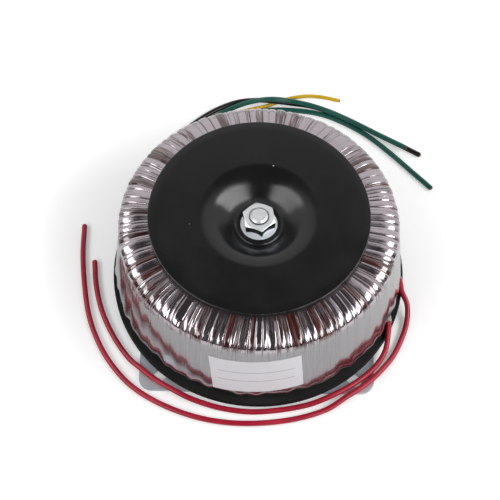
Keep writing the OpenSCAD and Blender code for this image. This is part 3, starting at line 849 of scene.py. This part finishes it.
# ---------------------------------------------------------------------------------------------
# Clamping stack
# ---------------------------------------------------------------------------------------------
@dataclass
class ClampingStack:
    """Dished washer, flat washer and nut on the bolt, over the top pad."""

    sheet: float = 0.0015
    dish_radius: float = 0.034
    floor_radius: float = 0.012
    soft_rim: float = 0.5
    soft_floor: float = 0.1
    rim_round: float = 0.0005
    bore_radius: float = 0.0055
    washer_round: float = 0.0003
    flats: float = 0.017
    thread_radius: float = 0.005
    mouth_radius: float = 0.0058
    mouth_depth: float = 0.0025
    chamfer: float = math.radians(30)
    nut_turn: float = math.radians(41)
    nut_sides: int = 192

    def dish_fall(self, radius: Array, depth: float) -> Array:
        """Depth of the dish: a cone that is rounded into the rim's plane and into its flat floor.

        The slope at the share s of the way in rises evenly up to s = soft_rim, stays, and falls
        evenly after s = 1 - soft_floor. The depth is its integral.
        """
        way = np.clip((self.dish_radius - radius) / (self.dish_radius - self.floor_radius), 0, 1)
        start, end = self.soft_rim, self.soft_floor
        fall = (way - start / 2 + np.maximum(start - way, 0) ** 2 / (2 * start)
                - np.maximum(way - 1 + end, 0) ** 2 / (2 * end))
        return depth * fall / (1 - (start + end) / 2)

    def clamping_washer(self, material: bpy.types.Material) -> bpy.types.Object:
        """The dished washer, one pressed sheet with a rounded rim."""
        low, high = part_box("clamping_washer")
        depth = high.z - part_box("flat_washer")[0].z
        line = np.concatenate([[self.bore_radius],
                               np.linspace(self.floor_radius - 0.001, self.dish_radius + 0.001, 44),
                               np.linspace(self.dish_radius + 0.003, high.x - self.rim_round, 6)])
        top = high.z - self.dish_fall(line, depth)
        turn = np.linspace(math.pi / 2, -math.pi / 2, 11)[1:-1]
        half, soft = self.sheet / 2, self.rim_round
        edge = [(high.x - soft + soft * math.cos(a), high.z - half + (half - soft) * np.sign(math.sin(a))
                 + soft * math.sin(a)) for a in turn]
        outline = [*zip(line, top), *edge, *zip(line[::-1], top[::-1] - self.sheet)]
        piece = turned_solid("dished_washer", outline, "black_steel", ["clamping_washer"], 256)
        piece.data.materials.append(material)
        split_sharp(piece, 60)
        return piece

    def flat_washer(self, material: bpy.types.Material) -> bpy.types.Object:
        """The flat washer, with edges rounded by its stamping."""
        low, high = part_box("flat_washer")
        soft = self.washer_round
        outline = rounded([(self.bore_radius, low.z, 0), (self.bore_radius, high.z, soft),
                           (high.x, high.z, soft), (high.x, low.z, soft)])
        piece = turned_solid("stamped_washer", outline, "zinc_hardware", ["flat_washer"])
        piece.data.materials.append(material)
        return piece

    def nut(self, material: bpy.types.Material) -> bpy.types.Object:
        """The nut: on each level its radius is the lesser of the hexagon's and the chamfer's.

        The hexagon's radius at an angle is half the flats over the cosine of the angle from the
        middle of the nearest flat.
        """
        low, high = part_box("hex_nut")
        corner = self.flats / 2 / math.cos(math.pi / 6)
        face = self.flats / 2 * 0.965
        rise = (np.array([0.0, 0.15, 0.3, 0.45, 0.6, 0.75, 0.9, 1.0])
                * (corner - face) * math.tan(self.chamfer))
        cone = face + rise / math.tan(self.chamfer)
        levels = np.concatenate([[low.z], low.z + rise, (high.z - rise)[::-1],
                                 [high.z, high.z, high.z - self.mouth_depth, high.z - self.mouth_depth]])
        limits = np.concatenate([[self.thread_radius], cone, cone[::-1],
                                 [face * 0.97, self.mouth_radius, self.mouth_radius * 0.96,
                                  self.thread_radius]])
        turn = np.linspace(0, FULL_TURN, self.nut_sides, endpoint=False)
        hexagon = self.flats / 2 / np.cos(np.mod(turn, math.pi / 3) - math.pi / 6)
        hexagon = np.minimum(hexagon, corner * 0.985)
        radius = np.minimum(hexagon[None, :], limits[:, None])
        turn += self.nut_turn
        points = np.stack([radius * np.cos(turn), radius * np.sin(turn),
                           np.repeat(levels[:, None], self.nut_sides, 1)], -1)
        faces = grid_quads(len(levels), self.nut_sides, close_rings=True)[:, ::-1]
        piece = new_piece("chamfered_nut", points, faces, "zinc_hardware", ["hex_nut"])
        piece.data.materials.append(material)
        split_sharp(piece, 20)
        return piece


# ---------------------------------------------------------------------------------------------
# Studio
# ---------------------------------------------------------------------------------------------
@dataclass
class Studio:
    """Pale floor, white backdrop, two soft boxes at the sides and the camera."""

    floor_half: float = 4.0
    floor_white: float = 0.88
    lift: float = 0.26
    box_size: tuple[float, float] = (1.3, 0.4)
    box_distance: float = 1.1
    box_elevation: float = math.radians(39)
    box_swing: float = math.radians(67)
    box_power: float = 8.4
    box_bias: float = 0.2
    backdrop: float = 0.9
    room: float = 0.03
    lens: float = 100.8
    sensor: float = 36.0
    distance: float = 0.7825
    elevation: float = math.radians(59.1)
    aim_shift: tuple[float, float] = (-0.0047, -0.0231)
    roll: float = math.radians(0.35)

    def floor(self) -> None:
        """A pale floor that keeps the shadow near the object and fades to white away from it."""
        half = self.floor_half
        mesh = bpy.data.meshes.new("floor")
        mesh.from_pydata([(-half, -half, 0), (half, -half, 0), (half, half, 0), (-half, half, 0)],
                         [], [(0, 1, 2, 3)])
        floor = bpy.data.objects.new("floor", mesh)
        bpy.context.scene.collection.objects.link(floor)
        material = bpy.data.materials.new("floor")
        material.use_nodes = True
        material.node_tree.nodes.clear()
        tree = Tree(material.node_tree)
        matt = tree.add("BsdfDiffuse", {"Color": (self.floor_white,) * 3 + (1.0,)}).outputs[0]
        rays = tree.add("LightPath").outputs
        away = tree.add("VectorMath", {0: tree.add("TexCoord").outputs["Object"]},
                        operation="LENGTH").outputs["Value"]
        glow = tree.spread(away, 0.09, 0.24, self.lift, 1.0)
        white = tree.add("Emission", {
            "Strength": tree.maths("MULTIPLY", glow, rays["Is Camera Ray"])}).outputs[0]
        tree.add("OutputMaterial", {"Surface": tree.add("AddShader", {0: matt, 1: white}).outputs[0]})
        mesh.materials.append(material)

    def world(self) -> None:
        """White for the camera; for light, a white backdrop behind the object in a dim room."""
        world = bpy.data.worlds.new("surround")
        bpy.context.scene.world = world
        world.use_nodes = True
        world.node_tree.nodes.clear()
        tree = Tree(world.node_tree)
        way = tree.add("SeparateXYZ", {0: tree.add("TexCoord").outputs["Generated"]}).outputs
        behind = tree.spread(way[1], -0.15, 0.35, 0.0, 1.0)
        below = tree.spread(way[2], 0.78, 0.88, 1.0, 0.0)
        level = tree.maths("MULTIPLY_ADD", tree.maths("MULTIPLY", behind, below),
                           self.backdrop - self.room, self.room)
        seen = tree.add("LightPath").outputs["Is Camera Ray"]
        strength = tree.maths("MAXIMUM", seen, level)
        tree.add("OutputWorld", {"Surface": tree.add("Background", {"Strength": strength}).outputs[0]})

    def soft_box(self, name: str, swing: float, power: float) -> None:
        """One long soft box that faces the object from the camera's side."""
        lamp = bpy.data.lights.new(name, "AREA")
        lamp.shape, lamp.energy = "RECTANGLE", power
        lamp.size, lamp.size_y = self.box_size
        box = bpy.data.objects.new(name, lamp)
        flat = math.cos(self.box_elevation)
        direction = Vector((flat * math.sin(swing), -flat * math.cos(swing), math.sin(self.box_elevation)))
        box.location = direction * self.box_distance
        box.rotation_mode = "QUATERNION"
        box.rotation_quaternion = direction.to_track_quat("Z", "Y")
        bpy.context.scene.collection.objects.link(box)

    def camera(self) -> None:
        """The camera, above the front, aimed a little before the washer's middle."""
        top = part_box("clamping_washer")[1].z
        centre = Vector((0, 0, top))
        back = Vector((0, -math.cos(self.elevation), math.sin(self.elevation)))
        lens = bpy.data.cameras.new("camera")
        lens.lens, lens.sensor_width = self.lens, self.sensor
        camera = bpy.data.objects.new("camera", lens)
        camera.location = centre + back * self.distance
        aim = centre + Vector((*self.aim_shift, 0))
        camera.rotation_mode = "QUATERNION"
        turn = (aim - camera.location).to_track_quat("-Z", "Y")
        camera.rotation_quaternion = turn @ Matrix.Rotation(self.roll, 3, "Z").to_quaternion()
        bpy.context.scene.collection.objects.link(camera)
        bpy.context.scene.camera = camera

    def build(self) -> None:
        """Sets the whole studio up."""
        self.floor()
        self.world()
        self.soft_box("box_left", -self.box_swing, self.box_power * (1 - self.box_bias))
        self.soft_box("box_right", self.box_swing, self.box_power * (1 + self.box_bias))
        self.camera()
        bpy.context.scene.view_settings.view_transform = "Standard"


# ---------------------------------------------------------------------------------------------
# The part
# ---------------------------------------------------------------------------------------------
class Insulation(Enum):
    """Finishes of the leads' insulation."""

    RED = PlasticFinish("red_insulation", (0.37, 0.003, 0.024))
    GREEN = PlasticFinish("green_insulation", (0.008, 0.095, 0.07))
    BLACK = PlasticFinish("black_insulation", (0.004, 0.004, 0.004))
    YELLOW = PlasticFinish("yellow_insulation", (0.68, 0.42, 0.012))


class Dressing(Enum):
    """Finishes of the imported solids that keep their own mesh, by material slot."""

    zinc_plate = ZincFinish("rolled_zinc", (0.76, 0.76, 0.78), 0.4, (1.0, 0.04, 1.0), satin=0.5)
    zinc_hardware = ZincFinish("bright_zinc", (0.93, 0.93, 0.92), 0.36, satin=0.5, smoothing=0.6)
    core_steel = ZincFinish("wound_strip", (0.35, 0.36, 0.38), 0.4, (1.0, 1.0, 0.05))
    rubber = RubberFinish()
    tape = ClothFinish("wound_tape", (0.6, 0.54, 0.32), 0.0012, 0.35)
    enamelled_wire = CopperFinish("enamelled_wire", (0.3, 0.07, 0.045), 0.55, 0.0011)
    label_paper = PaperFinish()
    sleeving = ClothFinish("woven_sleeving", (0.5, 0.46, 0.4), 0.0007)


def leads() -> list[tuple[Lead, Insulation]]:
    """The six leads and the insulation of each."""
    heavy, thin = 0.0032, 0.0024
    return [
        (Lead("red_lead_outer", "red_pvc", 3, heavy, 0.338, [
            (0.0853, -0.014, 0.009), (0.0884, -0.0215, 0.0066), (0.0884, -0.03, 0.0026),
            (0.0855, -0.04, 0.0016), (0.0795, -0.053, 0.002), (0.0705, -0.065, 0.0039),
            (0.062, -0.073, 0.0039), (0.052, -0.08, 0.0038), (0.04, -0.0875, 0.0016),
            (0.024, -0.093, 0.0016), (0.006, -0.096, 0.0016), (-0.013, -0.0965, 0.0016),
            (-0.031, -0.094, 0.0016), (-0.048, -0.0885, 0.0016), (-0.063, -0.081, 0.0016),
            (-0.075, -0.072, 0.0016), (-0.086, -0.059, 0.0016), (-0.094, -0.045, 0.0016),
            (-0.1, -0.029, 0.0016), (-0.104, -0.009, 0.0016), (-0.1065, 0.012, 0.0016),
            (-0.107, 0.032, 0.0016)]), Insulation.RED),
        (Lead("red_lead_inner", "red_pvc", -17, heavy, 0.259, [
            (0.0762, -0.0435, 0.0088), (0.0745, -0.052, 0.0062), (0.0695, -0.06, 0.0041),
            (0.062, -0.0675, 0.0039), (0.053, -0.074, 0.0039), (0.043, -0.0795, 0.0033),
            (0.03, -0.0845, 0.0016), (0.014, -0.088, 0.0016), (-0.003, -0.0895, 0.0016),
            (-0.02, -0.0875, 0.0016), (-0.036, -0.083, 0.0027), (-0.047, -0.078, 0.0039),
            (-0.058, -0.0715, 0.0039), (-0.067, -0.0645, 0.0039), (-0.0755, -0.056, 0.0018),
            (-0.085, -0.042, 0.0016), (-0.0925, -0.026, 0.0016), (-0.097, -0.009, 0.0016),
            (-0.099, 0.007, 0.0016)]), Insulation.RED),
        (Lead("green_lead_long", "green_pvc", 132, heavy, 0.202, [
            (-0.0428, 0.077, 0.0088), (-0.0395, 0.086, 0.0055), (-0.036, 0.095, 0.0018),
            (-0.03, 0.104, 0.0016), (-0.02, 0.112, 0.0016), (-0.008, 0.1175, 0.0016),
            (0.006, 0.1205, 0.0016), (0.02, 0.1205, 0.0016), (0.034, 0.1188, 0.0016),
            (0.045, 0.1154, 0.0016), (0.058, 0.1086, 0.0016), (0.07, 0.1001, 0.0016),
            (0.083, 0.088, 0.0016), (0.095, 0.0755, 0.0016), (0.107, 0.063, 0.0016)]), Insulation.GREEN),
        (Lead("green_lead_short", "green_pvc", 146, heavy, 0.204, [
            (-0.06, 0.0645, 0.0088), (-0.0585, 0.0735, 0.0055), (-0.0545, 0.085, 0.0018),
            (-0.048, 0.0965, 0.0016), (-0.039, 0.107, 0.0016), (-0.028, 0.1155, 0.0018),
            (-0.016, 0.1215, 0.0034), (-0.005, 0.1245, 0.0053), (0.007, 0.1246, 0.0079),
            (0.019, 0.1249, 0.0056), (0.032, 0.1224, 0.0047), (0.045, 0.1174, 0.0046),
            (0.058, 0.1106, 0.0046), (0.075, 0.1006, 0.0046), (0.092, 0.0909, 0.0046)]), Insulation.GREEN),
        (Lead("black_lead", "black_pvc", 153, heavy, 0.23, [
            (-0.0677, 0.0565, 0.0088), (-0.0672, 0.066, 0.006), (-0.065, 0.077, 0.0039),
            (-0.0595, 0.089, 0.0016), (-0.0505, 0.101, 0.0016), (-0.0395, 0.1118, 0.0016),
            (-0.0285, 0.12, 0.0016), (-0.016, 0.126, 0.0016), (-0.004, 0.1278, 0.0018),
            (0.007, 0.1255, 0.0045), (0.019, 0.1256, 0.0022), (0.032, 0.124, 0.0016),
            (0.045, 0.1193, 0.0016), (0.058, 0.1126, 0.0016), (0.075, 0.1026, 0.0016),
            (0.092, 0.0929, 0.0016), (0.101, 0.0876, 0.0016)]), Insulation.BLACK),
        (Lead("yellow_lead", "yellow_pvc", 139, thin, 0.141, [
            (-0.0512, 0.071, 0.0086), (-0.0488, 0.08, 0.005), (-0.0445, 0.0905, 0.0014),
            (-0.0375, 0.101, 0.0012), (-0.0285, 0.11, 0.0012), (-0.0175, 0.117, 0.0012),
            (-0.006, 0.121, 0.0012), (0.003, 0.1236, 0.0012), (0.011, 0.127, 0.0012),
            (0.02, 0.1305, 0.0012), (0.03, 0.1322, 0.0012), (0.04, 0.1315, 0.0012),
            (0.0505, 0.129, 0.0012)]), Insulation.YELLOW),
    ]


def dress_packed_nodes() -> None:
    """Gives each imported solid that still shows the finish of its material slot."""
    made = {choice.name: choice.value.material() for choice in Dressing}
    for part in frame["record"]["subparts"]:
        solid = frame["nodes"][part["node"]]
        if part["material_slot"] in made and not solid.hide_render:
            solid.data.materials.clear()
            solid.data.materials.append(made[part["material_slot"]])
            LOG.info("%s: %s", solid.name, part["material_slot"])


def main() -> None:
    """Builds the studio, the leads and the part's new pieces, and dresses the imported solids."""
    logging.basicConfig(level=logging.INFO, format="%(name)s: %(message)s")
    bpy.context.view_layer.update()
    Studio().build()

    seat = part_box("base_pad")[1].z
    copper = CopperFinish("copper_strands", (0.72, 0.36, 0.2), 1.0, 0.0004).material()
    insulation = {choice: choice.value.material() for choice in Insulation}
    for lead, choice in leads():
        lead.build(seat, insulation[choice], copper)

    film_t = 0.0018
    wrap = FilmWrap(outer_radius=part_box("secondary_winding")[1].x + film_t, low=seat,
                    high=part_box("top_pad")[0].z, edge_radius=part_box("top_pad")[1].x)
    LOG.info("%s: %d faces", wrap.build(FilmFinish().material()).name, wrap.columns)

    stack = ClampingStack()
    bright = Dressing.zinc_hardware.value.material()
    for piece in (stack.clamping_washer(PaintFinish().material()), stack.flat_washer(bright),
                  stack.nut(bright)):
        LOG.info("%s: %d faces", piece.name, len(piece.data.polygons))

    dress_packed_nodes()


if __name__ == "__main__":
    main()
